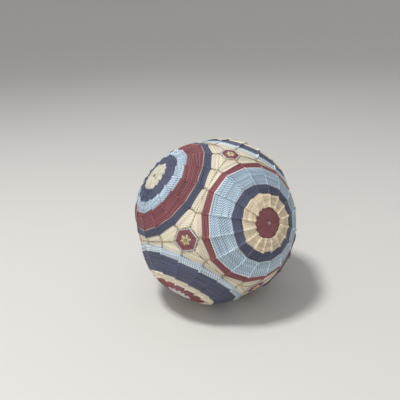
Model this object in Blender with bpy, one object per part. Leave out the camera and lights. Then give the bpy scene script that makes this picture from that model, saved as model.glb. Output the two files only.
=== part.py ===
"""A temari ball: a wound ball covered with stitched bands of thread.

Six round motifs (roundels) sit on three crossed axes, each made of five rings of thread whose rows
run straight from spoke to spoke of sixteen spokes. Between every three roundels lies a cream field
with a hexagon and a small star in its middle. The ball is fullest under the roundels, sinks a little between
them, and rests on a small flat spot at the origin.
"""

from math import acos, atan, atan2, cos, pi, radians, sin, tan

import bmesh
import bpy
from mathutils import Vector

# Driving dimensions, in metres
BAND_RADIUS = 0.0440          # over the bands, halfway between two spokes
SPOKE_RISE = 0.00035          # the threads cross at the spokes and stand this much higher
FIELD_RADIUS = 0.04375        # over the cream fields
HEXAGON_RADIUS = 0.0440       # over the hexagon rings
STAR_RADIUS = 0.0439          # over the stars
UNDERSIDE_RADIUS = 0.04305    # under every stitched piece
WOUND_RADIUS = 0.0425         # the wound ball that they lie on
CROWN_RISE = 0.0010           # the ball is this much fuller under a roundel's inner rings
FIELD_SINK = 0.00175          # and falls by this much from there to the fields
REST_HEIGHT = 0.0430          # from the flat spot up to the middle of the ball
GAP = 0.00033                 # between neighbouring pieces
GAP_ANGLE = GAP / UNDERSIDE_RADIUS
HORN_WIDTH = 0.0008           # a field ends where the roundels leave less room than this

# Where the ball starts and stops falling away, as angles from the nearest roundel's middle
SINK_START = radians(20.0)
SINK_END = radians(50.0)

# The way the ball lies: the front roundel faces right of the viewer and a little up, and the
# left and top ones are rolled half a quarter turn about it
FRONT_TURN = radians(33.7)
FRONT_TILT = radians(16.6)
ROLL = radians(44.65)

# Each roundel is a round of spokes, and each ring of thread has its corners on them
SPOKES = 16
COLUMNS = 2 * SPOKES
HALF_SPOKE = pi / SPOKES

# Rings from the middle outwards: colour, and the angle of the outer corners from the middle
FRONT_RINGS = (
    ("burgundy", 9.7),
    ("cream", 18.7),
    ("navy", 25.1),
    ("sky", 38.7),
    ("burgundy", 43.6),
)
LEFT_RINGS = (
    ("cream", 10.6),
    ("navy", 18.9),
    ("sky", 26.1),
    ("burgundy", 37.5),
    ("navy", 42.4),
)
TOP_RINGS = (
    ("sky", 9.2),
    ("burgundy", 23.0),
    ("cream", 31.0),
    ("navy", 39.5),
    ("sky", 43.6),
)
UNDER_RINGS = (
    ("sky", 9.2),
    ("burgundy", 18.5),
    ("cream", 24.5),
    ("navy", 39.3),
    ("sky", 43.6),
)

# The hexagon and the star in the middle of each field, as angles from its middle
HEXAGON_SIDES = 6
HALF_SIDE = pi / HEXAGON_SIDES
HEXAGON_CORNERS = {("front", "left", "under"): radians(7.2), ("front", "left", "top"): radians(5.7)}
USUAL_CORNER = radians(6.7)   # of the hexagons round the back and right
STAR_POINT = 0.53             # a star's point over its hexagon's corner
STAR_NOTCH = 0.75             # a notch's angle over a point's

WIDE_RING = radians(9.0)      # a wider ring has a row of points along its middle
FIELD_STEPS = 3
BALL_SEGMENTS = 36
SHARP_ANGLE = radians(35.0)   # edges sharper than this stay crisp
HORN_STEP = radians(0.25)     # how finely the end of a field is looked for

# Finish: colour, roughness, metallic
THREADS = {
    "wound": ((0.66, 0.60, 0.46), 0.85, 0.0),
    "burgundy": ((0.20, 0.035, 0.05), 0.65, 0.0),
    "cream": ((0.70, 0.62, 0.44), 0.65, 0.0),
    "navy": ((0.05, 0.06, 0.13), 0.65, 0.0),
    "sky": ((0.35, 0.50, 0.62), 0.65, 0.0),
    "gold": ((0.55, 0.42, 0.16), 0.40, 0.6),
}


def clear_scene():
    for item in list(bpy.data.objects):
        bpy.data.objects.remove(item, do_unlink=True)


def thread_material(name):
    material = bpy.data.materials.get(name)
    if material:
        return material
    colour, roughness, metallic = THREADS[name]
    material = bpy.data.materials.new(name)
    material.use_nodes = True
    shader = material.node_tree.nodes["Principled BSDF"]
    shader.inputs["Base Color"].default_value = (*colour, 1.0)
    shader.inputs["Roughness"].default_value = roughness
    shader.inputs["Metallic"].default_value = metallic
    return material


def roundel_axes():
    """Directions of the six roundels' middles from the middle of the ball."""
    front = Vector((sin(FRONT_TURN) * cos(FRONT_TILT), -cos(FRONT_TURN) * cos(FRONT_TILT), sin(FRONT_TILT)))
    aside = Vector((-cos(FRONT_TURN), -sin(FRONT_TURN), 0.0))
    above = aside.cross(front)
    if above.z < 0:
        above.negate()
    left = above * cos(ROLL) + aside * sin(ROLL)
    top = above * sin(ROLL) - aside * cos(ROLL)
    return {"front": front, "left": left, "top": top, "rear": -front, "right": -left, "under": -top}


AXES = roundel_axes()
RINGS = {
    "front": FRONT_RINGS, "rear": FRONT_RINGS,
    "left": LEFT_RINGS, "right": LEFT_RINGS,
    "top": TOP_RINGS, "under": UNDER_RINGS,
}
# The roundel that each one's first spoke points at
NEIGHBOUR = {
    "front": "left", "left": "top", "top": "front",
    "rear": "right", "right": "under", "under": "rear",
}


def direction(middle, toward, angle, azimuth):
    """The direction at an angle from middle, and turned about it by azimuth from toward."""
    along = (toward - middle * toward.dot(middle)).normalized()
    across = middle.cross(along)
    return middle * cos(angle) + (along * cos(azimuth) + across * sin(azimuth)) * sin(angle)


def edge_angle(corner, azimuth, half_side=HALF_SPOKE):
    """A straight-sided edge's angle from its middle, where its corners are at the given angle."""
    off_side = azimuth % (2 * half_side) - half_side
    return atan(tan(corner) * cos(half_side) / cos(off_side))


def swell(heading):
    """How much farther out than on a round ball the thread lies in a direction."""
    nearest = min(heading.angle(axis) for axis in AXES.values())
    share = min(max((nearest - SINK_START) / (SINK_END - SINK_START), 0.0), 1.0)
    return CROWN_RISE - FIELD_SINK * share * share * (3 - 2 * share)


def solid(name, bm, thread):
    """Swells the mesh, moves it up to rest on its flat spot, cuts it level and makes its object."""
    for vert in bm.verts:
        heading = vert.co.normalized()
        vert.co += heading * swell(heading)
    bmesh.ops.translate(bm, verts=bm.verts, vec=(0.0, 0.0, REST_HEIGHT))
    everything = bm.verts[:] + bm.edges[:] + bm.faces[:]
    bmesh.ops.bisect_plane(bm, geom=everything, plane_co=(0, 0, 0), plane_no=(0, 0, -1), clear_outer=True)
    open_edges = [edge for edge in bm.edges if edge.is_boundary]
    if open_edges:
        bmesh.ops.holes_fill(bm, edges=open_edges, sides=0)
    bmesh.ops.recalc_face_normals(bm, faces=bm.faces)
    mesh = bpy.data.meshes.new(name)
    bm.to_mesh(mesh)
    bm.free()
    mesh.shade_smooth()
    mesh.set_sharp_from_angle(angle=SHARP_ANGLE)
    mesh.materials.append(thread_material(thread))
    bpy.context.scene.collection.objects.link(bpy.data.objects.new(name, mesh))


def shell(bm, columns, under):
    """Closes the space between a grid of surface points and the sphere under it.

    columns is a closed round of columns, each a list of points from the inner edge to the outer one.
    """
    upper = [[bm.verts.new(point) for point in column] for column in columns]
    lower = [[bm.verts.new(point.normalized() * under) for point in column] for column in columns]
    count = len(columns)
    rows = len(columns[0])
    for index in range(count):
        after = (index + 1) % count
        for row in range(rows - 1):
            bm.faces.new((upper[index][row], upper[index][row + 1], upper[after][row + 1], upper[after][row]))
            bm.faces.new((lower[index][row], lower[after][row], lower[after][row + 1], lower[index][row + 1]))
        bm.faces.new((upper[index][0], upper[after][0], lower[after][0], lower[index][0]))
        bm.faces.new((upper[index][-1], lower[index][-1], lower[after][-1], upper[after][-1]))


def cap(bm, middle, rim, under):
    """Closes the space between a middle point with its rim and the sphere under them."""
    upper = [bm.verts.new(point) for point in rim]
    lower = [bm.verts.new(point.normalized() * under) for point in rim]
    peak = bm.verts.new(middle)
    base = bm.verts.new(middle.normalized() * under)
    for index in range(len(rim)):
        after = (index + 1) % len(rim)
        bm.faces.new((peak, upper[index], upper[after]))
        bm.faces.new((base, lower[after], lower[index]))
        bm.faces.new((upper[index], lower[index], lower[after], upper[after]))


def band_point(roundel, corner, column):
    """A point over a band, on a spoke for an even column and halfway between two for an odd one."""
    azimuth = column * HALF_SPOKE
    radius = BAND_RADIUS + (SPOKE_RISE if column % 2 == 0 else 0.0)
    angle = edge_angle(corner, azimuth)
    return direction(AXES[roundel], AXES[NEIGHBOUR[roundel]], angle, azimuth) * radius


def make_wound_ball():
    bm = bmesh.new()
    bmesh.ops.create_uvsphere(bm, u_segments=BALL_SEGMENTS, v_segments=BALL_SEGMENTS // 2, radius=WOUND_RADIUS)
    solid("wound_ball", bm, "wound")


def make_roundel(roundel):
    """A centre cap and four rings, each starting a gap outside the one before."""
    inner = 0.0
    for number, (colour, outer_degrees) in enumerate(RINGS[roundel], start=1):
        outer = radians(outer_degrees)
        bm = bmesh.new()
        if number == 1:
            rim = [band_point(roundel, outer, column) for column in range(COLUMNS)]
            cap(bm, AXES[roundel] * BAND_RADIUS, rim, UNDERSIDE_RADIUS)
        else:
            start = inner + GAP_ANGLE
            steps = 2 if outer - start > WIDE_RING else 1
            corners = [start + (outer - start) * step / steps for step in range(steps + 1)]
            columns = [[band_point(roundel, corner, column) for corner in corners] for column in range(COLUMNS)]
            shell(bm, columns, UNDERSIDE_RADIUS)
        solid(f"{roundel}_{number}_{colour}", bm, colour)
        inner = outer


def outer_corner(roundel):
    return radians(RINGS[roundel][-1][1])


def room_beside(roundel, other, azimuth):
    """The width left between two roundels, on a line turned by azimuth from the one to the other."""
    own = edge_angle(outer_corner(roundel), azimuth)
    far = acos(sin(own) * cos(azimuth))
    return (far - edge_angle(outer_corner(other), azimuth)) * UNDERSIDE_RADIUS - 2 * GAP


def horn_start(roundel, other):
    """How far off the line between two roundels a field has room to begin."""
    azimuth = GAP_ANGLE
    while room_beside(roundel, other, azimuth) < HORN_WIDTH:
        azimuth += HORN_STEP
    return azimuth


def field_side(roundel, first, last):
    """Directions along a roundel's edge, from its line to one neighbour to its line to the other."""
    axis = AXES[roundel]
    corner = outer_corner(roundel) + GAP_ANGLE
    quarter = COLUMNS // 4
    turns = [column * HALF_SPOKE for column in range(1, quarter)]
    turns = [horn_start(roundel, first)] + turns + [pi / 2 - horn_start(roundel, last)]
    toward = AXES[first]
    sense = 1.0 if axis.cross(toward).dot(AXES[last]) > 0 else -1.0
    return [direction(axis, toward, edge_angle(corner, turn), sense * turn) for turn in turns]


def middle_of(names):
    return sum((AXES[name] for name in names), Vector()).normalized()


def hexagon_corner(names):
    return HEXAGON_CORNERS.get(names, USUAL_CORNER)


def hexagon_direction(middle, toward, corner, azimuth):
    return direction(middle, toward, edge_angle(corner, azimuth, HALF_SIDE), azimuth)


def azimuth_about(middle, toward, heading):
    along = (toward - middle * toward.dot(middle)).normalized()
    across = middle.cross(along)
    return atan2(heading.dot(across), heading.dot(along))


def make_field(names):
    """The cream field between three roundels, open in its middle for the hexagon."""
    middle = middle_of(names)
    toward = AXES[names[0]]
    outline = []
    for index, name in enumerate(names):
        outline += field_side(name, names[index - 1], names[(index + 1) % 3])
    columns = []
    for heading in outline:
        azimuth = azimuth_about(middle, toward, heading)
        start = hexagon_direction(middle, toward, hexagon_corner(names) + GAP_ANGLE, azimuth)
        headings = [start.slerp(heading, step / FIELD_STEPS) for step in range(FIELD_STEPS + 1)]
        columns.append([item * FIELD_RADIUS for item in headings])
    bm = bmesh.new()
    shell(bm, columns, UNDERSIDE_RADIUS)
    solid("field_" + "_".join(names), bm, "cream")


def make_hexagon(names):
    middle = middle_of(names)
    toward = AXES[names[0]]
    columns = []
    for index in range(2 * HEXAGON_SIDES):
        azimuth = index * HALF_SIDE
        inner = direction(middle, toward, star_angle(names, index) + GAP_ANGLE, azimuth)
        outer = hexagon_direction(middle, toward, hexagon_corner(names), azimuth)
        columns.append([inner * HEXAGON_RADIUS, outer * HEXAGON_RADIUS])
    bm = bmesh.new()
    shell(bm, columns, UNDERSIDE_RADIUS)
    solid("hexagon_" + "_".join(names), bm, "burgundy")


def star_angle(names, index):
    point = STAR_POINT * hexagon_corner(names)
    return point if index % 2 == 0 else point * STAR_NOTCH


def make_star(names):
    middle = middle_of(names)
    toward = AXES[names[0]]
    rim = []
    for index in range(2 * HEXAGON_SIDES):
        rim.append(direction(middle, toward, star_angle(names, index), index * HALF_SIDE) * STAR_RADIUS)
    bm = bmesh.new()
    cap(bm, middle * STAR_RADIUS, rim, UNDERSIDE_RADIUS)
    solid("star_" + "_".join(names), bm, "gold")


def field_names():
    """The eight sets of three roundels that meet round a field."""
    for first in ("front", "rear"):
        for second in ("left", "right"):
            for third in ("top", "under"):
                yield (first, second, third)


def build():
    clear_scene()
    make_wound_ball()
    for roundel in AXES:
        make_roundel(roundel)
    for names in field_names():
        make_field(names)
        make_hexagon(names)
        make_star(names)


build()
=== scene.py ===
"""Looks of a temari ball: rows of twisted thread stitched over a wound ball, in the CAD frame.

Every row of thread is modelled as its own strands, one from each spoke to the next. All places are
worked out as directions from the ball's middle, in the same layout as the solids.
"""

from math import cos, pi, radians, sin

import bpy
import numpy as np
from mathutils import Matrix, Vector


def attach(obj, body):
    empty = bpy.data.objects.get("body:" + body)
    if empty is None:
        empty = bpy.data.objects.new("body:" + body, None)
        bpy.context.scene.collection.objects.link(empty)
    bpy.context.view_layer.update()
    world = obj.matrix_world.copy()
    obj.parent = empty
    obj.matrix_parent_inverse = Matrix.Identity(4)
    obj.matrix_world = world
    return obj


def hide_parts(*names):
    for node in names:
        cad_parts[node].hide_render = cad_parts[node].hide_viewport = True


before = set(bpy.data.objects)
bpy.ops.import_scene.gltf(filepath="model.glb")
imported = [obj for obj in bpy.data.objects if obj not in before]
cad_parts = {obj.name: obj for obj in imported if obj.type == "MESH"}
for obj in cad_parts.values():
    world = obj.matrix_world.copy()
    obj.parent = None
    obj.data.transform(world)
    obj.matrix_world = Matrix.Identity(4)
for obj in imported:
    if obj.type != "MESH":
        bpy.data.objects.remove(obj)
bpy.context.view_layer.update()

# The ball's sizes, in metres
MM = 0.001
REST_HEIGHT = 43.0 * MM       # from the flat spot up to the middle of the ball
ROW_RADIUS = 43.62 * MM       # the middle of a thread, halfway between two spokes
CROWN_RISE = 1.0 * MM         # the ball is this much fuller under a roundel's inner rings
FIELD_SINK = 1.75 * MM        # and falls by this much from there to the fields
CHORD_RISE = 0.12 * MM        # how much higher a thread comes to a spoke, being pulled straight
SPOKE_RIDGE = 0.48 * MM       # how much higher still it passes over the spoke
PLEAT_RIDGE = 0.60 * MM       # the same where the rows are packed tightest
RIDGE_REACH = 0.30 * MM       # half the width of that ridge
FIELD_DROP = 0.30 * MM        # the cream fields lie this much lower than the roundels
BED_DROP = 0.26 * MM          # the bed under the rows lies this much lower than their middles
BED_DEPTH = 0.50 * MM         # and is this thick
ROW_PITCH = 0.80 * MM         # from one row of thread to the next
OVERSHOOT = 0.55 * MM         # how far a strand runs on past its spoke
ROW_WIDTH = 1.06              # a strand's width over its pitch, so that rows press together
FIELD_ROW_WIDTH = 1.30        # the same in the fields, whose rows press together more
ROW_HEIGHT = 0.72 * MM        # a strand's thickness
UNEVEN_HEIGHT = 0.02 * MM     # how much strands differ in height

# The way the ball lies
FRONT_TURN = radians(33.7)
FRONT_TILT = radians(16.6)
ROLL = radians(44.65)

# Where the ball starts and stops falling away, as angles from the nearest roundel's middle
SINK_START = radians(20.0)
SINK_END = radians(50.0)

SPOKES = 16
SPOKE_STEP = 2 * pi / SPOKES
HEXAGON_SIDES = 6
SIDE_STEP = 2 * pi / HEXAGON_SIDES

# Rings from the middle outwards: colour, and the angle of the outer corners in degrees
FRONT_RINGS = (("burgundy", 9.7), ("cream", 18.7), ("navy", 25.1), ("sky", 38.7), ("burgundy", 43.6))
LEFT_RINGS = (("cream", 10.6), ("navy", 18.9), ("sky", 26.1), ("burgundy", 37.5), ("navy", 42.4))
TOP_RINGS = (("sky", 9.2), ("burgundy", 23.0), ("cream", 31.0), ("navy", 39.5), ("sky", 43.6))
UNDER_RINGS = (("sky", 9.2), ("burgundy", 18.5), ("cream", 24.5), ("navy", 39.3), ("sky", 43.6))

# Single fine rows between two rings: angle in degrees, thread, and width in millimetres
FRONT_LINES = ((25.1, "pale", 0.30), (38.7, "pale", 0.70))
LEFT_LINES = ((37.5, "blush", 0.38),)

# Hexagon motifs, as angles from their middles in degrees
HEXAGON_CORNERS = {("front", "left", "under"): 7.2, ("front", "left", "top"): 5.7}
USUAL_CORNER = 6.7            # of the hexagons round the back and right
STAR_POINT = 0.53             # a star's point over its hexagon's corner
PALE_STEP = 0.75              # from a hexagon's corner out to its pale row
MARK_STEP = 1.60              # and to the marking thread round it

# The camera, fitted to the photo: the ball's middle and the lens are in its 400 by 400 pixels
PHOTO_SIDE = 400
FOCAL_PIXELS = 507.4
BALL_PIXEL = (216.2, 220.3)
DISTANCE_OVER_RADIUS = 6.38
BALL_RADIUS = 44.0 * MM
CAMERA_PITCH = radians(20.98)
CAMERA_ROLL = radians(-2.39)
SENSOR_MM = 36.0
CLIP_START = 0.01

rng = np.random.default_rng(16)


def unit(vector):
    return np.asarray(vector, float) / np.linalg.norm(vector)


def roundel_axes():
    """Directions of the six roundels' middles from the middle of the ball."""
    front = np.array((sin(FRONT_TURN) * cos(FRONT_TILT), -cos(FRONT_TURN) * cos(FRONT_TILT), sin(FRONT_TILT)))
    aside = np.array((-cos(FRONT_TURN), -sin(FRONT_TURN), 0.0))
    above = np.cross(aside, front)
    above = above * np.sign(above[2])
    left = above * cos(ROLL) + aside * sin(ROLL)
    top = above * sin(ROLL) - aside * cos(ROLL)
    return {"front": front, "left": left, "top": top, "rear": -front, "right": -left, "under": -top}


AXES = roundel_axes()
RINGS = {
    "front": FRONT_RINGS, "rear": FRONT_RINGS, "left": LEFT_RINGS,
    "right": LEFT_RINGS, "top": TOP_RINGS, "under": UNDER_RINGS,
}
LINES = {
    "front": FRONT_LINES, "rear": FRONT_LINES, "left": LEFT_LINES,
    "right": LEFT_LINES, "top": (), "under": (),
}
OPPOSITE = {
    "front": "rear", "left": "right", "top": "under",
    "rear": "front", "right": "left", "under": "top",
}
# The roundel that each one's first spoke points at
NEIGHBOUR = {
    "front": "left", "left": "top", "top": "front",
    "rear": "right", "right": "under", "under": "rear",
}


def polar(middle, toward, angle, azimuth):
    """Directions at an angle from middle, turned about it by azimuth from toward. Takes arrays."""
    angle = np.asarray(angle, float)[..., None]
    azimuth = np.asarray(azimuth, float)[..., None]
    along = unit(toward - middle * np.dot(toward, middle))
    across = np.cross(middle, along)
    return middle * np.cos(angle) + (along * np.cos(azimuth) + across * np.sin(azimuth)) * np.sin(angle)


def normalized(points):
    return points / np.linalg.norm(points, axis=-1, keepdims=True)


def swell(points):
    """Moves points in or out from a round ball to this one, which is fullest under the roundels."""
    heading = normalized(points)
    nearest = np.arccos(np.clip((heading @ np.array(list(AXES.values())).T).max(axis=-1), -1, 1))
    share = np.clip((nearest - SINK_START) / (SINK_END - SINK_START), 0, 1)
    return points + heading * (CROWN_RISE - FIELD_SINK * share ** 2 * (3 - 2 * share))[..., None]


def press(points, room):
    """Lifts points that would sink below the flat spot, leaving this much room under them."""
    points[..., 2] = np.maximum(points[..., 2], room - REST_HEIGHT)
    return points


# Meshes of many strands

STRAND_SIDES = 6
BED_TONE = -1.0               # the bed lies in the shade of the rows
TWIST_SHIFT = 0.33 * MM       # how far the twist of one strand is out of step with the next
CAP_QUADS = ((0, 1, 2, 3), (0, 3, 4, 5))


class Strands:
    """Collects closed tubes that share one mesh. Points are measured from the middle of the ball."""

    def __init__(self):
        self.points = []
        self.quads = []
        self.along = []
        self.around = []
        self.tones_and_painted_light = []
        self.count = 0

    def add(self, paths, width, height, painted_light=0.0):
        """Adds tubes along paths, an array of strands by stations by 3, lying flat on the ball."""
        strands, stations, _ = paths.shape
        width = np.broadcast_to(np.asarray(width, float), (strands, stations))
        height = np.broadcast_to(np.asarray(height, float), (strands, stations))
        paths = press(swell(paths), height.max() / 2)
        normal = normalized(paths)
        tangent = normalized(np.gradient(paths, axis=1))
        side = normalized(np.cross(tangent, normal))
        turn = np.arange(STRAND_SIDES) * 2 * pi / STRAND_SIDES
        ring = (
            side[:, :, None] * (width[..., None] * np.cos(turn) / 2)[..., None]
            + normal[:, :, None] * (height[..., None] * np.sin(turn) / 2)[..., None]
        )
        points = paths[:, :, None] + ring
        step = np.linalg.norm(np.diff(paths, axis=1), axis=2)
        run = np.concatenate([np.zeros((strands, 1)), np.cumsum(step, axis=1)], axis=1)
        run = run - run[:, -1:] / 2 + rng.normal(0, TWIST_SHIFT, (strands, 1))
        index = np.arange(strands * stations * STRAND_SIDES).reshape(strands, stations, STRAND_SIDES)
        after = np.roll(index, -1, axis=2)
        sides = np.stack([index[:, :-1], after[:, :-1], after[:, 1:], index[:, 1:]], axis=-1)
        starts = index[:, 0][:, list(CAP_QUADS)][:, :, ::-1]
        ends = index[:, -1][:, list(CAP_QUADS)]
        quads = np.concatenate([sides.reshape(strands, -1, 4), starts, ends], axis=1)
        round_fraction = np.arange(STRAND_SIDES) / STRAND_SIDES
        around = np.broadcast_to(round_fraction, (strands, stations - 1, STRAND_SIDES))
        around = np.stack([around, around + 1 / STRAND_SIDES, around + 1 / STRAND_SIDES, around], axis=-1)
        near = np.broadcast_to(run[:, :-1, None], (strands, stations - 1, STRAND_SIDES))
        far = np.broadcast_to(run[:, 1:, None], (strands, stations - 1, STRAND_SIDES))
        along = np.stack([near, near, far, far], axis=-1)
        flat = np.zeros((strands, 4, 4))
        # Each strand's random tone, plus painted shade and painted highlights by station along it
        tone_and_painted_light = rng.uniform(0, 1, (strands, 1)) + np.broadcast_to(np.asarray(painted_light, float), (stations,))
        self.points.append(points.reshape(-1, 3))
        self.quads.append(quads.reshape(-1, 4) + self.count)
        self.along.append(np.concatenate([along.reshape(strands, -1, 4), flat], axis=1).reshape(-1))
        self.around.append(np.concatenate([around.reshape(strands, -1, 4), flat], axis=1).reshape(-1))
        self.tones_and_painted_light.append(np.repeat(tone_and_painted_light.reshape(-1), STRAND_SIDES))
        self.count += points.size // 3

    def add_bed(self, columns):
        """Adds one closed shell: columns is a round of columns by points by 3, inner edge first."""
        upper = press(swell(np.asarray(columns, float)), ROW_HEIGHT / 2 + BED_DROP)
        lower = upper - normalized(upper) * BED_DEPTH
        count, rows, _ = upper.shape
        index = np.arange(count * rows).reshape(count, rows)
        after = np.roll(index, -1, axis=0)
        under = index + count * rows
        under_after = after + count * rows
        top = np.stack([index[:, :-1], index[:, 1:], after[:, 1:], after[:, :-1]], axis=-1)
        bottom = np.stack([under[:, :-1], under_after[:, :-1], under_after[:, 1:], under[:, 1:]], axis=-1)
        inner = np.stack([index[:, 0], after[:, 0], under_after[:, 0], under[:, 0]], axis=-1)
        outer = np.stack([index[:, -1], under[:, -1], under_after[:, -1], after[:, -1]], axis=-1)
        quads = np.concatenate([top.reshape(-1, 4), bottom.reshape(-1, 4), inner, outer])
        points = np.concatenate([upper.reshape(-1, 3), lower.reshape(-1, 3)])
        self.points.append(points)
        self.quads.append(quads + self.count)
        self.along.append(np.zeros(quads.size))
        self.around.append(np.zeros(quads.size))
        self.tones_and_painted_light.append(np.full(len(points), BED_TONE))
        self.count += len(points)

    def make(self, name, material, slot):
        """Makes the object, moved up to where the ball rests."""
        points = np.concatenate(self.points) + (0, 0, REST_HEIGHT)
        points[:, 2] = np.maximum(points[:, 2], 0)
        quads = np.concatenate(self.quads)
        mesh = bpy.data.meshes.new(name)
        mesh.vertices.add(len(points))
        mesh.vertices.foreach_set("co", points.ravel())
        mesh.loops.add(quads.size)
        mesh.loops.foreach_set("vertex_index", quads.ravel())
        mesh.polygons.add(len(quads))
        mesh.polygons.foreach_set("loop_start", np.arange(len(quads)) * 4)
        layer = mesh.uv_layers.new(name="thread")
        places = np.stack([np.concatenate(self.along) / MM, np.concatenate(self.around)], axis=-1)
        layer.data.foreach_set("uv", places.ravel())
        tones_and_painted_light = mesh.attributes.new("tone_and_painted_light", "FLOAT", "POINT")
        tones_and_painted_light.data.foreach_set("value", np.concatenate(self.tones_and_painted_light))
        mesh.update(calc_edges=True)
        mesh.validate()
        mesh.shade_smooth()
        mesh.materials.append(material)
        item = bpy.data.objects.new(name, mesh)
        bpy.context.scene.collection.objects.link(item)
        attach(item, "root")
        return item


# Materials

THREAD_COLOURS = {
    "burgundy": (0.264, 0.085, 0.094),
    "cream": (0.765, 0.690, 0.545),
    "oat": (0.705, 0.640, 0.505),
    "buff": (0.745, 0.625, 0.455),
    # A darker cream, on the left and right roundels' cores
    "darker_cream": (0.610, 0.570, 0.455),
    "navy": (0.085, 0.096, 0.155),
    "sky": (0.520, 0.655, 0.755),
    # Painted light: sky made lighter on the left and right roundels' sky rings, and lighter still on the top
    # and under roundels' outer rings
    "sky_in_painted_light": (0.565, 0.685, 0.780),
    "sky_lighter_in_painted_light": (0.640, 0.730, 0.810),
    "pearl": (0.640, 0.645, 0.645),
    "pale": (0.800, 0.730, 0.730),
    "blush": (0.680, 0.540, 0.420),
    "lilac": (0.650, 0.620, 0.670),
    "wheat": (0.840, 0.700, 0.460),
    "straw": (0.560, 0.420, 0.210),
    "gold": (0.500, 0.430, 0.190),
    "ground": (0.680, 0.580, 0.400),
}
# Strength of the colour: uneven dye moves a thread along it, and so do the bed's painted shade and the
# painted shade and painted highlights along a strand, up to a painted highlight over a spoke
DYE_AND_LIGHT_STEPS = ((0.0, 0.45), (0.14, 0.78), (0.75, 1.28), (1.0, 1.75))

# Painted shade in the groove between the plies: how strongly it darkens a thread, and the colour it
# multiplies by
GROOVE_SHADE_DEPTHS = {
    "cream": 0.36, "oat": 0.42, "buff": 0.36, "darker_cream": 0.30, "ground": 0.55,
    "burgundy": 0.65, "navy": 0.45, "sky": 1.0, "sky_in_painted_light": 0.95,
}
USUAL_GROOVE_SHADE_DEPTH = 0.85
GROOVE_SHADES = {
    "sky": (0.14, 0.17, 0.21), "sky_in_painted_light": (0.17, 0.20, 0.25),
    "sky_lighter_in_painted_light": (0.22, 0.24, 0.30), "pearl": (0.26, 0.26, 0.27),
}
USUAL_GROOVE_SHADE = (0.30, 0.28, 0.30)

TWIST_LENGTH = 2.4            # millimetres of thread for one turn of its two plies
PLIES = 2
PLY_FLANKS = (-1.0, 0.2)      # the wave's values in the groove and where a ply is already flat
PATCH_SCALE = 60.0            # patches of uneven dye to a metre
FIBRE_SCALE = 5200.0          # fibres to a metre
PLY_BUMP = 0.14 * MM
FIBRE_BUMP = 0.04 * MM
SHEEN_ROUGHNESS = 0.45

# Threads of plain twist, and those with more shine
DYED = (
    "burgundy", "cream", "oat", "buff", "darker_cream", "navy", "pearl",
    "pale", "blush", "lilac", "wheat", "straw", "ground",
)
SHINY = ("sky", "sky_in_painted_light", "sky_lighter_in_painted_light")


def node(tree, kind, **inputs):
    item = tree.nodes.new(kind)
    for key, value in inputs.items():
        item.inputs[key.replace("_", " ")].default_value = value
    return item


def math_node(tree, operation, *values):
    """The result of a sum on numbers or on the outputs of other nodes."""
    item = tree.nodes.new("ShaderNodeMath")
    item.operation = operation
    for socket, value in zip(item.inputs, values):
        if isinstance(value, float):
            socket.default_value = value
        else:
            tree.links.new(value, socket)
    return item.outputs[0]


def ply_height(tree):
    """Height over a strand's plies, from 0 in their groove to 1, winding along it and round it."""
    place = tree.nodes.new("ShaderNodeUVMap")
    place.uv_map = "thread"
    parts = tree.nodes.new("ShaderNodeSeparateXYZ")
    tree.links.new(place.outputs["UV"], parts.inputs["Vector"])
    turns = math_node(tree, "MULTIPLY", parts.outputs["X"], 1 / TWIST_LENGTH)
    phase = math_node(tree, "ADD", turns, parts.outputs["Y"])
    angle = math_node(tree, "MULTIPLY", phase, PLIES * 2 * pi)
    ply = tree.nodes.new("ShaderNodeMapRange")
    ply.inputs["From Min"].default_value, ply.inputs["From Max"].default_value = PLY_FLANKS
    tree.links.new(math_node(tree, "COSINE", angle), ply.inputs["Value"])
    return ply.outputs[0]


def dye_and_light_colour(tree, space, colour):
    """The thread's colour: uneven dye over the ball and from strand to strand, with painted shade and painted
    highlights along a strand and painted shade on the bed.
    """
    patches = node(tree, "ShaderNodeTexNoise", Scale=PATCH_SCALE, Detail=3.0, Roughness=0.6)
    tree.links.new(space, patches.inputs["Vector"])
    strand = tree.nodes.new("ShaderNodeAttribute")
    strand.attribute_name = "tone_and_painted_light"
    mixed = math_node(tree, "ADD", patches.outputs["Fac"], strand.outputs["Fac"])
    # One ramp gives both the uneven dye and the painted shade and highlights
    dye = tree.nodes.new("ShaderNodeValToRGB")
    while len(dye.color_ramp.elements) < len(DYE_AND_LIGHT_STEPS):
        dye.color_ramp.elements.new(0.5)
    for element, (position, strength) in zip(dye.color_ramp.elements, DYE_AND_LIGHT_STEPS):
        element.position = position
        element.color = (*[min(1.0, strength * channel) for channel in colour], 1.0)
    tree.links.new(math_node(tree, "MULTIPLY", mixed, 0.5), dye.inputs["Fac"])
    return dye.outputs["Color"]


def groove_shaded_colour(tree, name, colour, ply):
    """The colour from the dye and painted light, with painted shade in the groove between the plies."""
    groove = tree.nodes.new("ShaderNodeMix")
    groove.data_type = "RGBA"
    groove.blend_type = "MULTIPLY"
    shade = tree.nodes.new("ShaderNodeMapRange")
    shade.inputs["To Min"].default_value = GROOVE_SHADE_DEPTHS.get(name, USUAL_GROOVE_SHADE_DEPTH)
    shade.inputs["To Max"].default_value = 0.0
    tree.links.new(ply, shade.inputs["Value"])
    tree.links.new(shade.outputs[0], groove.inputs["Factor"])
    tree.links.new(colour, groove.inputs["A"])
    groove.inputs["B"].default_value = (*GROOVE_SHADES.get(name, USUAL_GROOVE_SHADE), 1.0)
    return groove.outputs["Result"]


def bumped_normal(tree, space, ply):
    """Bumps of the plies and of the fibres in them."""
    fibres = node(tree, "ShaderNodeTexNoise", Scale=FIBRE_SCALE, Detail=2.0)
    tree.links.new(space, fibres.inputs["Vector"])
    ply_bump = node(tree, "ShaderNodeBump", Strength=0.8, Distance=PLY_BUMP)
    tree.links.new(ply, ply_bump.inputs["Height"])
    fibre_bump = node(tree, "ShaderNodeBump", Strength=0.25, Distance=FIBRE_BUMP)
    tree.links.new(fibres.outputs["Fac"], fibre_bump.inputs["Height"])
    tree.links.new(ply_bump.outputs["Normal"], fibre_bump.inputs["Normal"])
    return fibre_bump.outputs["Normal"]


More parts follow.
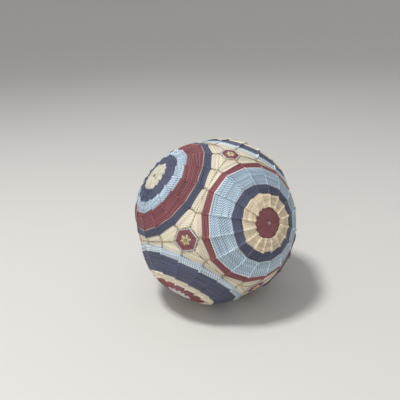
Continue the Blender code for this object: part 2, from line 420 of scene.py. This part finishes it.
def thread_material(name, roughness=0.46, sheen=0.10, metallic=0.0, gloss=0.5):
    """Two-ply thread: bumps and painted shade in the grooves wound along each strand, uneven dye with painted
    shade and painted highlights, fine fibres.
    """
    material = bpy.data.materials.new("thread_" + name)
    material.use_nodes = True
    tree = material.node_tree
    shader = tree.nodes["Principled BSDF"]
    shader.inputs["Roughness"].default_value = roughness
    shader.inputs["Metallic"].default_value = metallic
    shader.inputs["Sheen Weight"].default_value = sheen
    shader.inputs["Sheen Roughness"].default_value = SHEEN_ROUGHNESS
    tint = [0.5 + 0.5 * channel for channel in THREAD_COLOURS[name]]
    shader.inputs["Sheen Tint"].default_value = (*tint, 1.0)
    shader.inputs["Specular IOR Level"].default_value = gloss
    space = tree.nodes.new("ShaderNodeTexCoord").outputs["Object"]
    ply = ply_height(tree)
    colour = dye_and_light_colour(tree, space, THREAD_COLOURS[name])
    tree.links.new(groove_shaded_colour(tree, name, colour, ply), shader.inputs["Base Color"])
    tree.links.new(bumped_normal(tree, space, ply), shader.inputs["Normal"])
    return material


def make_threads():
    threads = {name: thread_material(name) for name in DYED}
    for name in SHINY:
        threads[name] = thread_material(name, roughness=0.36, gloss=0.7)
    threads["gold"] = thread_material("gold", roughness=0.40, sheen=0.0, metallic=0.35)
    return threads


MATERIALS = make_threads()


# Rows of a roundel

# Stations of a strand from where it sets out before a spoke, and to where it ends past the next
# one, with its share of the ridge there: it sets out low, and ends high over the next row's start
START_PLACES = np.array((-1.0, -0.4, 0.1, 0.9, 1.9)) * OVERSHOOT
START_RIDGE = np.array((0.0, 0.25, 0.38, 0.10, 0.0))
# Painted shade where a strand sets out, under the end of the one before
START_SHADE = np.array((-0.8, -0.8, -0.8, -0.7, 0.0))
END_PLACES = np.array((1.9, 1.1, 0.5, 0.0, -0.5, -0.9, -1.0)) * OVERSHOOT
END_RIDGE = np.array((0.0, 0.15, 0.62, 1.0, 1.0, 0.90, 0.80))
# Painted highlight on the ridge over a spoke, and painted shade where the end goes under
END_HIGHLIGHT_AND_SHADE = np.array((0.0, 0.10, 0.36, 0.52, 0.46, 0.0, -0.6))
MIDWAY = (0.33, 0.67)
STRAND_PAINTED_LIGHT = np.concatenate([START_SHADE, np.zeros(len(MIDWAY)), END_HIGHLIGHT_AND_SHADE])
# How strongly each colour takes that painted shade and painted highlight
SPOKE_CONTRAST = {"burgundy": 0.55, "cream": 0.50, "navy": 0.60, "sky": 1.0}
CROSSING = 0.40               # strands start and end this part of a pitch aside, so they cross
UNEVEN = 0.10                 # and this part of a pitch out of place
CORNER_WOBBLE = radians(0.38)
RIM_WOBBLE_SHARE = 0.35       # a roundel's outer edge wobbles less
RING_RISE = {"cream": 0.28 * MM}
DIVE = 0.5 * MM               # a strand's ends go this deep under the others
LINE_RISE = 0.20 * MM         # single fine rows lie this much higher


def chord_rise(fraction):
    """Height over the lowest place of a row, for a place from one spoke at 0 to the next at 1."""
    return CHORD_RISE * np.abs(2 * fraction - 1) ** 3


def ridge_rise(distance, ridge):
    """Extra height at a distance from a spoke."""
    return ridge * np.exp(-(distance / RIDGE_REACH) ** 2)


def corner_angles(roundel):
    """The outer corner of each ring on each spoke, a little uneven as worked by hand."""
    corners = [np.zeros(SPOKES)]
    for number, (_, outer) in enumerate(RINGS[roundel], start=1):
        share = RIM_WOBBLE_SHARE if number == len(RINGS[roundel]) else 1.0
        corners.append(radians(outer) + rng.normal(0, CORNER_WOBBLE * share, SPOKES))
    return corners


def strand_paths(roundel, start, end, radius, ridge=SPOKE_RIDGE):
    """Strands from each spoke to the next: start and end are corner angles, rows by spokes."""
    rows = start.shape[0]
    middle, toward = AXES[roundel], AXES[NEIGHBOUR[roundel]]
    spokes = np.arange(SPOKES) * SPOKE_STEP
    first = polar(middle, toward, start, np.broadcast_to(spokes, (rows, SPOKES)))
    last = polar(middle, toward, end, np.broadcast_to(spokes + SPOKE_STEP, (rows, SPOKES)))
    length = np.linalg.norm(last - first, axis=-1, keepdims=True) * radius
    starts = np.broadcast_to(START_PLACES, (rows, SPOKES, len(START_PLACES)))
    ends = np.broadcast_to(END_PLACES, (rows, SPOKES, len(END_PLACES)))
    between = START_PLACES[-1] + (length - START_PLACES[-1] - END_PLACES[0]) * np.array(MIDWAY)
    along = np.concatenate([starts, between, length - ends], axis=-1)
    fraction = (along / length)[..., None]
    heading = normalized(first[..., None, :] * (1 - fraction) + last[..., None, :] * fraction)
    share = np.concatenate([START_RIDGE, np.zeros(len(MIDWAY)), END_RIDGE])
    height = radius + chord_rise(np.clip(along / length, 0, 1)) + ridge * share
    height[..., [0, -1]] -= DIVE
    height = height + rng.normal(0, UNEVEN_HEIGHT, (rows, SPOKES, 1))
    paths = heading * height[..., None]
    return paths.reshape(rows * SPOKES, -1, 3)


# The bed under a ring: its columns between two spokes, and where the ridge over a spoke ends
BED_MIDWAY = (0.28, 0.5, 0.72)
BED_RIDGE_END = 0.55          # over OVERSHOOT
BED_ROWS = 4                  # of points, from the inner edge to the outer one
BED_INSET = 0.3               # of a pitch, in from the ring's edges


def ring_bed(roundel, inner, outer, ridge):
    """The surface under a ring, following its spokes. inner and outer are corner angles by spoke."""
    middle, toward = AXES[roundel], AXES[NEIGHBOUR[roundel]]
    share = np.linspace(0, 1, BED_ROWS)
    radius = ROW_RADIUS - BED_DROP
    columns = []
    for spoke in range(SPOKES):
        after = (spoke + 1) % SPOKES
        azimuths = np.full(BED_ROWS, spoke * SPOKE_STEP), np.full(BED_ROWS, (spoke + 1) * SPOKE_STEP)
        first = polar(middle, toward, inner[spoke] + (outer[spoke] - inner[spoke]) * share, azimuths[0])
        last = polar(middle, toward, inner[after] + (outer[after] - inner[after]) * share, azimuths[1])
        length = np.linalg.norm(last - first, axis=-1) * radius
        edge = BED_RIDGE_END * OVERSHOOT / np.mean(length)
        for fraction in (0.0, edge, *BED_MIDWAY, 1 - edge):
            heading = normalized(first * (1 - fraction) + last * fraction)
            distance = min(fraction, 1 - fraction) * length
            height = radius + chord_rise(np.array(fraction)) + ridge_rise(distance, ridge)
            columns.append(heading * height[:, None])
    return np.array(columns)


# Shades by colour and by ring, counted from the middle; the copies of sky on rings 3 and 5 are made lighter
# as painted light
NEAR_SHADES = {
    ("cream", 1): "darker_cream",
    ("cream", 2): "buff",
    ("sky", 1): "pearl",
    ("sky", 3): "sky_in_painted_light",
    ("sky", 5): "sky_lighter_in_painted_light",
}


def ring_thread(roundel, number):
    """The thread of a ring: its own colour, or a near shade of it, two of which are painted light."""
    colour = RINGS[roundel][number - 1][0]
    return NEAR_SHADES.get((colour, number), colour)


def make_ring(roundel, number, corners):
    colour = RINGS[roundel][number - 1][0]
    inner, outer = corners[number - 1], corners[number]
    width = np.mean(outer - inner) * ROW_RADIUS
    rows = max(1, round(width / ROW_PITCH))
    share = ((np.arange(rows) + 0.5) / rows)[:, None]
    angles = inner + (outer - inner) * share
    pitch = (outer - inner) / rows
    shift = rng.normal(0, UNEVEN, (2, rows, SPOKES)) * pitch
    start = angles + pitch * CROSSING + shift[0]
    end = np.roll(angles - pitch * CROSSING, -1, axis=1) + shift[1]
    ridge = PLEAT_RIDGE if colour in ("cream", "sky") else SPOKE_RIDGE
    radius = ROW_RADIUS + RING_RISE.get(colour, 0.0)
    paths = strand_paths(roundel, start, end, radius, ridge)
    strands = Strands()
    strands.add(paths, width / rows * ROW_WIDTH, ROW_HEIGHT, STRAND_PAINTED_LIGHT * SPOKE_CONTRAST[colour])
    strands.add_bed(ring_bed(roundel, inner + pitch * BED_INSET, outer - pitch * BED_INSET, ridge))
    material = MATERIALS[ring_thread(roundel, number)]
    item = strands.make(f"{roundel}_{number}_{colour}_rows", material, colour)
    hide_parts(f"{roundel}_{number}_{colour}")


RADIAL_THREADS = 64
RADIAL_STARTS = (0.9, 4.6, 2.6, 5.6)   # degrees from the middle, in turn
RADIAL_WIDTH = 0.82 * MM
CORE_SHARES = np.array((0.0, 0.15, 0.4, 0.7, 0.92, 1.0))
CORE_DIPS = np.array((0.3, 0.0, 0.0, 0.0, 0.05, 0.4)) * MM
CORE_DOME = 0.25 * MM
CORE_BED_INNER = radians(0.2)
CORE_BED_INSET = radians(0.4)
PETAL_DEPTH = {"burgundy": 0.30, "cream": 0.55, "sky": 0.45}   # degrees


def make_core(roundel, corners):
    """The middle disc: threads laid from its middle to its rim, in sixteen shallow petals."""
    colour = RINGS[roundel][0][0]
    middle, toward = AXES[roundel], AXES[NEIGHBOUR[roundel]]
    outer = corners[1]
    azimuth = np.arange(RADIAL_THREADS) * 2 * pi / RADIAL_THREADS
    rim = np.interp(azimuth, np.arange(SPOKES + 1) * SPOKE_STEP, np.append(outer, outer[0]))
    rim = rim + radians(PETAL_DEPTH[colour]) * np.cos(SPOKES * azimuth)
    inner = radians(1) * np.resize(RADIAL_STARTS, RADIAL_THREADS)
    angles = inner[:, None] + (rim - inner)[:, None] * CORE_SHARES
    azimuths = np.broadcast_to(azimuth[:, None], angles.shape)
    petal = 0.5 + 0.5 * np.cos(SPOKES * azimuths)
    height = ROW_RADIUS + CORE_DOME * (1 - CORE_SHARES ** 2) + CHORD_RISE * petal * CORE_SHARES
    height = height - CORE_DIPS
    paths = polar(middle, toward, angles, azimuths) * height[..., None]
    strands = Strands()
    strands.add(paths, RADIAL_WIDTH, ROW_HEIGHT)
    bed_inner = np.full(SPOKES, CORE_BED_INNER)
    strands.add_bed(ring_bed(roundel, bed_inner, outer - CORE_BED_INSET, ridge=0.0))
    item = strands.make(f"{roundel}_1_{colour}_rows", MATERIALS[ring_thread(roundel, 1)], colour)
    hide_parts(f"{roundel}_1_{colour}")
    make_centre(roundel)


CENTRE_THREADS = {"burgundy": "pale", "cream": "gold", "sky": "gold"}
CENTRE_REACHES = (1.40, 0.60, 1.20, 0.50)   # degrees, one stitch after another
CENTRE_TURN = 0.2                           # radians
CENTRE_RISES = np.array((0.1, 0.4, 0.5, 0.4, 0.1))[:, None] * MM
CENTRE_WIDTH = 0.22 * MM
CENTRE_HEIGHT = 0.24 * MM


def make_centre(roundel):
    """Small crossed stitches that hold the middle of a roundel."""
    middle, toward = AXES[roundel], AXES[NEIGHBOUR[roundel]]
    strands = Strands()
    share = np.linspace(0, 1, len(CENTRE_RISES))[:, None]
    for turn, reach in enumerate(CENTRE_REACHES):
        azimuths = np.array((0, pi)) + turn * pi / len(CENTRE_REACHES) + CENTRE_TURN
        ends = polar(middle, toward, np.full(2, radians(reach)), azimuths)
        height = ROW_RADIUS + CORE_DOME + CENTRE_RISES
        path = normalized(ends[0] * (1 - share) + ends[1] * share) * height
        strands.add(path[None], CENTRE_WIDTH, CENTRE_HEIGHT)
    thread = CENTRE_THREADS[RINGS[roundel][0][0]]
    strands.make(f"{roundel}_centre_stitch", MATERIALS[thread], "cream")


LINE_HEIGHT = 0.34 * MM


def make_lines(roundel, corners):
    """The single fine rows between rings, a little proud of them."""
    for angle, thread, width in LINES[roundel]:
        number = [outer for _, outer in RINGS[roundel]].index(angle) + 1
        angles = corners[number][None, :]
        paths = strand_paths(roundel, angles, np.roll(angles, -1, axis=1), ROW_RADIUS + LINE_RISE)
        strands = Strands()
        strands.add(paths, width * MM, LINE_HEIGHT)
        strands.make(f"{roundel}_line_{number}", MATERIALS[thread], "cream")


def make_roundel(roundel):
    corners = corner_angles(roundel)
    make_core(roundel, corners)
    for number in range(2, len(RINGS[roundel]) + 1):
        make_ring(roundel, number, corners)
    make_lines(roundel, corners)


# Cream fields

FIELD_SAMPLES = 28
FIELD_START = 0.45            # of a pitch, from a roundel's edge to the first row's middle
FIELD_LIMIT = radians(54.5)   # no row lies farther than this from its roundel's middle
FIELD_REACH = 0.05            # how far past a quarter turn rows are still looked at, as a cosine
FIELD_OVERLAP = 0.003         # rows of two neighbours overlap by this much, as a cosine
HEXAGON_ROOM = 0.4            # degrees between a hexagon's corner and the nearest row
SHORTEST_ROW = 3              # samples
FIELD_STATIONS = 9
FIELD_CHORD = 0.7             # rows in a field rise this much of CHORD_RISE
FIELD_TUCK = 0.2 * MM         # and go down by this much at their ends


def hexagon_corner(names):
    return HEXAGON_CORNERS.get(names, USUAL_CORNER)


def octant_names():
    for first in ("front", "rear"):
        for second in ("left", "right"):
            for third in ("top", "under"):
                yield (first, second, third)


def middle_of(names):
    return unit(sum(AXES[name] for name in names))


def runs(keep):
    """Start and stop of each stretch of True values."""
    edges = np.flatnonzero(np.diff(np.concatenate([[0], keep.astype(int), [0]])))
    return zip(edges[::2], edges[1::2])


def field_rows(names):
    """Cream rows that carry on outside each roundel until they meet its neighbours' rows."""
    hexagon = middle_of(names)
    for name in names:
        middle, toward = AXES[name], AXES[NEIGHBOUR[name]]
        others = np.array([AXES[other] for other in names if other != name])
        step = ROW_PITCH / ROW_RADIUS
        angle = radians(RINGS[name][-1][1]) + step * FIELD_START
        while angle < FIELD_LIMIT:
            for spoke in range(SPOKES):
                ends = polar(middle, toward, np.full(2, angle), np.array((spoke, spoke + 1)) * SPOKE_STEP)
                if min(ends.mean(axis=0) @ others.T) < -FIELD_REACH:
                    continue
                share = np.linspace(0, 1, FIELD_SAMPLES)[:, None]
                heading = normalized(ends[0] * (1 - share) + ends[1] * share)
                keep = (heading @ middle)[:, None] > heading @ others.T - FIELD_OVERLAP
                keep = keep.all(axis=1)
                keep &= (heading @ others.T > 0.0).all(axis=1)
                keep &= heading @ hexagon < cos(radians(hexagon_corner(names) + HEXAGON_ROOM))
                for first, last in runs(keep):
                    if last - first >= SHORTEST_ROW:
                        yield heading[first:last], share[first:last, 0]
            angle += step


def resample(points, stations):
    length = np.concatenate([[0], np.cumsum(np.linalg.norm(np.diff(points, axis=0), axis=1))])
    wanted = np.linspace(0, length[-1], stations)
    return np.stack([np.interp(wanted, length, points[:, axis]) for axis in range(3)], axis=-1)


def make_field(names):
    strands = Strands()
    for heading, share in field_rows(names):
        height = ROW_RADIUS - FIELD_DROP + chord_rise(share) * FIELD_CHORD + rng.normal(0, UNEVEN_HEIGHT)
        path = resample(heading * height[:, None], FIELD_STATIONS)
        path[[0, -1]] -= normalized(path[[0, -1]]) * FIELD_TUCK
        strands.add(path[None], ROW_PITCH * FIELD_ROW_WIDTH, ROW_HEIGHT)
    label = "field_" + "_".join(names)
    item = strands.make(label + "_rows", MATERIALS["oat"], "cream")
    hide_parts(label)


# Hexagon motifs

HEXAGON_ROWS = 4
HEXAGON_RADIUS = ROW_RADIUS + 0.1 * MM
HEXAGON_BED_REACH = 0.93      # of the hexagon's corner angle
SIDE_SHARES = np.linspace(-0.06, 1.06, 5)[:, None]   # a strand runs on past both corners
SIDE_TUCK = 0.12 * MM         # and goes down by this much there
PALE_WIDTH = 0.70 * MM
PALE_HEIGHT = 0.60 * MM


def hexagon_paths(names, corner, radius):
    """Six strands round a field's middle, with corners on the marking lines."""
    middle, toward = middle_of(names), AXES[names[0]]
    azimuths = np.arange(HEXAGON_SIDES + 1) * SIDE_STEP
    corners = polar(middle, toward, np.full(HEXAGON_SIDES + 1, corner), azimuths)
    paths = []
    for first, last in zip(corners[:-1], corners[1:]):
        paths.append(normalized(first * (1 - SIDE_SHARES) + last * SIDE_SHARES) * radius)
    paths = np.array(paths)
    paths[:, [0, -1]] -= normalized(paths[:, [0, -1]]) * SIDE_TUCK
    return paths


def hexagon_bed(names, inner, outer):
    """The bed's round of columns, one on each corner and one on the middle of each side."""
    middle, toward = middle_of(names), AXES[names[0]]
    angles = np.array((inner, outer * HEXAGON_BED_REACH))
    turns = np.arange(2 * HEXAGON_SIDES) * SIDE_STEP / 2
    return [polar(middle, toward, angles, np.full(2, turn)) * ROW_RADIUS for turn in turns]


def make_hexagon(names):
    label = "_".join(names)
    outer = radians(hexagon_corner(names))
    inner = STAR_POINT * outer
    pitch = (outer - inner) / HEXAGON_ROWS
    width = pitch * ROW_RADIUS * ROW_WIDTH
    strands = Strands()
    for row in range(HEXAGON_ROWS):
        corner = inner + pitch * (row + 0.5)
        strands.add(hexagon_paths(names, corner, HEXAGON_RADIUS), width, ROW_HEIGHT)
    strands.add_bed(hexagon_bed(names, inner, outer))
    item = strands.make(f"hexagon_{label}_rows", MATERIALS["burgundy"], "burgundy")
    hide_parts(f"hexagon_{label}")
    make_pale_row(names, label, outer + radians(PALE_STEP))


def make_pale_row(names, label, corner):
    """The single pale row round a hexagon."""
    strands = Strands()
    strands.add(hexagon_paths(names, corner, HEXAGON_RADIUS), PALE_WIDTH, PALE_HEIGHT)
    strands.make(f"hexagon_line_{label}", MATERIALS["lilac"], "cream")


PETALS = 12                   # wheat and straw in turn
PETAL_REACHES = (1.06, 0.92)  # over a star's point, for a wheat and a straw one
PETAL_SHARES = np.array((0.25, 0.5, 0.8, 1.0))
PETAL_RISES = np.array((0.1, 0.3, 0.2, -0.2)) * MM
WHEAT_WIDTH = 0.85 * MM
STRAW_WIDTH = 0.80 * MM
PETAL_HEIGHT = 0.60 * MM
KNOT_STITCHES = 3
KNOT_REACH = 0.32             # over a star's point
KNOT_RISE = 0.45 * MM
KNOT_WIDTH = 0.40 * MM


def make_star(names):
    """Cream and gold stitches laid round the middle of a hexagon."""
    middle, toward = middle_of(names), AXES[names[0]]
    azimuth = np.arange(PETALS) * 2 * pi / PETALS
    point = STAR_POINT * radians(hexagon_corner(names))
    reach = point * np.resize(PETAL_REACHES, PETALS)
    angles = reach[:, None] * PETAL_SHARES
    azimuths = np.broadcast_to(azimuth[:, None], angles.shape)
    paths = polar(middle, toward, angles, azimuths) * (ROW_RADIUS + PETAL_RISES)[:, None]
    label = "_".join(names)
    wheat = Strands()
    wheat.add(paths[::2], WHEAT_WIDTH, PETAL_HEIGHT)
    item = wheat.make(f"star_{label}_rows", MATERIALS["wheat"], "gold")
    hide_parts(f"star_{label}")
    straw = Strands()
    straw.add(paths[1::2], STRAW_WIDTH, PETAL_HEIGHT)
    straw.make(f"star_between_{label}", MATERIALS["straw"], "gold")
    make_knot(middle, toward, label, KNOT_REACH * point)


def make_knot(middle, toward, label, reach):
    """Short gold stitches crossed over a star's middle."""
    strands = Strands()
    share = np.linspace(0, 1, 5)[:, None]
    for turn in range(KNOT_STITCHES):
        azimuths = np.array((0, pi)) + turn * pi / KNOT_STITCHES
        ends = polar(middle, toward, np.full(2, reach), azimuths)
        path = (ends[0] * (1 - share) + ends[1] * share) * (ROW_RADIUS + KNOT_RISE)
        strands.add(path[None], KNOT_WIDTH, KNOT_WIDTH)
    strands.make(f"star_knot_{label}", MATERIALS["gold"], "gold")


# Marking threads

MARK_WIDTH = 0.24 * MM
MARK_RADIUS = ROW_RADIUS + 0.16 * MM
MARK_TUCK = 0.8               # degrees that a marking thread reaches in under a roundel's edge
SPOKE_TUCK = 0.6              # the same for one that carries on a spoke


def add_mark(strands, first, last, stations=5):
    """Adds a marking thread that runs straight over the ball between two directions."""
    share = np.linspace(0, 1, stations)[:, None]
    path = normalized(first * (1 - share) + last * share) * MARK_RADIUS
    strands.add(path[None], MARK_WIDTH, MARK_WIDTH)


def make_marks():
    """Fine gold threads: round the hexagons, between them, and from them in under the roundels."""
    strands = Strands()
    for names in octant_names():
        middle = middle_of(names)
        corner = radians(hexagon_corner(names) + MARK_STEP)
        strands.add(hexagon_paths(names, corner, MARK_RADIUS), MARK_WIDTH, MARK_WIDTH)
        for name in names:
            others = [other for other in names if other != name]
            between = unit(AXES[others[0]] + AXES[others[1]])
            add_mark(strands, polar(middle, between, corner, 0.0), between, stations=12)
            edge = polar(AXES[name], middle, radians(RINGS[name][-1][1] - MARK_TUCK), 0.0)
            add_mark(strands, polar(middle, AXES[name], corner, 0.0), edge)
    strands.make("marking_threads", MATERIALS["gold"], "gold")


def halfway_crossing(middle, beside, edge):
    """Where the spoke through edge crosses the line halfway between two roundels."""
    crossing = unit(np.cross(middle - beside, np.cross(middle, edge)))
    return crossing * np.sign(crossing @ (middle + beside))


def make_spoke_marks():
    """Where the spokes beside the main ones cross the cream fields, from roundel to roundel."""
    strands = Strands()
    for name, middle in AXES.items():
        reach = radians(RINGS[name][-1][1] - SPOKE_TUCK)
        for other, beside in AXES.items():
            if other in (name, OPPOSITE[name]):
                continue
            for azimuth in (-SPOKE_STEP, SPOKE_STEP):
                edge = polar(middle, beside, reach, azimuth)
                add_mark(strands, edge, halfway_crossing(middle, beside, edge))
    strands.make("spoke_marks", MATERIALS["gold"], "gold")


# The wound ball under the stitching

WOUND_RADIUS = ROW_RADIUS - FIELD_DROP - 0.25 * MM
WOUND_RINGS = 64
WOUND_SEGMENTS = 128


def round_ball():
    """Points and faces of a round ball: rings from the top down, then the two poles."""
    points = []
    for ring in range(1, WOUND_RINGS):
        angle = pi * ring / WOUND_RINGS
        for segment in range(WOUND_SEGMENTS):
            turn = 2 * pi * segment / WOUND_SEGMENTS
            points.append((sin(angle) * cos(turn), sin(angle) * sin(turn), cos(angle)))
    top = len(points)
    last_ring = (WOUND_RINGS - 2) * WOUND_SEGMENTS
    points = np.vstack([np.array(points) * WOUND_RADIUS, (0, 0, WOUND_RADIUS), (0, 0, -WOUND_RADIUS)])
    faces = []
    for segment in range(WOUND_SEGMENTS):
        after = (segment + 1) % WOUND_SEGMENTS
        for start in range(0, last_ring, WOUND_SEGMENTS):
            below = start + WOUND_SEGMENTS
            faces.append((start + segment, below + segment, below + after, start + after))
        faces.append((top, segment, after))
        faces.append((top + 1, last_ring + after, last_ring + segment))
    return points, faces


def make_wound_ball():
    points, faces = round_ball()
    points = swell(points) + (0, 0, REST_HEIGHT)
    points[:, 2] = np.maximum(points[:, 2], ROW_HEIGHT)
    mesh = bpy.data.meshes.new("wound")
    mesh.from_pydata(points.tolist(), [], faces)
    mesh.shade_smooth()
    mesh.uv_layers.new(name="thread")
    mesh.materials.append(MATERIALS["ground"])
    item = bpy.data.objects.new("wound_ball_cover", mesh)
    bpy.context.scene.collection.objects.link(item)
    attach(item, "root")
    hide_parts("wound_ball")


# Stage, light and camera

def plain_material(name, colour, roughness):
    material = bpy.data.materials.new(name)
    material.use_nodes = True
    shader = material.node_tree.nodes["Principled BSDF"]
    shader.inputs["Base Color"].default_value = (*colour, 1.0)
    shader.inputs["Roughness"].default_value = roughness
    return material


# The floor's rings: how far out and how high, in metres
FLOOR_PROFILE = ((0.0, 0.0), (1.2, 0.0), (1.6, 0.04), (2.0, 0.18), (2.3, 0.42), (2.5, 0.8), (2.6, 1.4))
FLOOR_SEGMENTS = 96
FLOOR_COLOUR = (0.68, 0.66, 0.62)
FLOOR_ROUGHNESS = 0.8


def make_floor():
    """A round floor that curves up far from the ball, so that no edge shows."""
    mesh = bpy.data.meshes.new("floor")
    turns = [2 * pi * segment / FLOOR_SEGMENTS for segment in range(FLOOR_SEGMENTS)]
    points = [(0.0, 0.0, 0.0)]
    faces = []
    for reach, height in FLOOR_PROFILE[1:]:
        points += [(reach * cos(turn), reach * sin(turn), height) for turn in turns]
    for segment in range(FLOOR_SEGMENTS):
        after = (segment + 1) % FLOOR_SEGMENTS
        faces.append((0, 1 + segment, 1 + after))
        for ring in range(len(FLOOR_PROFILE) - 2):
            inner, outer = 1 + ring * FLOOR_SEGMENTS, 1 + (ring + 1) * FLOOR_SEGMENTS
            faces.append((inner + segment, outer + segment, outer + after, inner + after))
    mesh.from_pydata(points, [], faces)
    mesh.shade_smooth()
    mesh.materials.append(plain_material("floor", FLOOR_COLOUR, FLOOR_ROUGHNESS))
    floor = bpy.data.objects.new("floor", mesh)
    bpy.context.scene.collection.objects.link(floor)


SKY_LIGHT = (0.94, 0.96, 1.0)
SKY_STRENGTH = 0.46
# Lights: place and size in metres, power in watts
LIGHTS = {
    "key": ((-0.24, -0.14, 0.84), 0.14, 5.2),
    "front": ((-0.26, -0.82, 0.24), 0.4, 2.3),
}


def make_light(name, place, size, energy):
    light = bpy.data.lights.new(name, "AREA")
    light.size = size
    light.energy = energy
    item = bpy.data.objects.new(name, light)
    item.location = place
    aim = Vector((0, 0, REST_HEIGHT)) - Vector(place)
    item.rotation_euler = aim.to_track_quat("-Z", "Y").to_euler()
    bpy.context.scene.collection.objects.link(item)


def make_lights():
    world = bpy.data.worlds.new("studio")
    world.use_nodes = True
    background = world.node_tree.nodes["Background"]
    background.inputs["Color"].default_value = (*SKY_LIGHT, 1.0)
    background.inputs["Strength"].default_value = SKY_STRENGTH
    bpy.context.scene.world = world
    for name, (place, size, energy) in LIGHTS.items():
        make_light(name, place, size, energy)


def make_camera():
    """Places the camera so that the ball falls where it is in the photo, at the photo's angle."""
    forward = Vector((0, cos(CAMERA_PITCH), -sin(CAMERA_PITCH)))
    across = Vector((1, 0, 0))
    upward = across.cross(forward)
    right = across * cos(CAMERA_ROLL) + upward * sin(CAMERA_ROLL)
    up = right.cross(forward)
    off_right = (BALL_PIXEL[0] - PHOTO_SIDE / 2) / FOCAL_PIXELS
    off_up = -(BALL_PIXEL[1] - PHOTO_SIDE / 2) / FOCAL_PIXELS
    sight = (forward + right * off_right + up * off_up).normalized()
    place = Vector((0, 0, REST_HEIGHT)) - sight * DISTANCE_OVER_RADIUS * BALL_RADIUS
    data = bpy.data.cameras.new("camera")
    data.sensor_width = SENSOR_MM
    data.lens = FOCAL_PIXELS / PHOTO_SIDE * SENSOR_MM
    data.clip_start = CLIP_START
    camera = bpy.data.objects.new("camera", data)
    turn = Matrix((right, up, -forward)).transposed()
    camera.matrix_world = Matrix.Translation(place) @ turn.to_4x4()
    bpy.context.scene.collection.objects.link(camera)
    bpy.context.scene.camera = camera


make_camera()
make_lights()
make_floor()
make_wound_ball()
for roundel_name in AXES:
    make_roundel(roundel_name)
for octant in octant_names():
    make_field(octant)
    make_hexagon(octant)
    make_star(octant)
make_marks()
make_spoke_marks()
bpy.context.scene.view_settings.view_transform = "Standard"
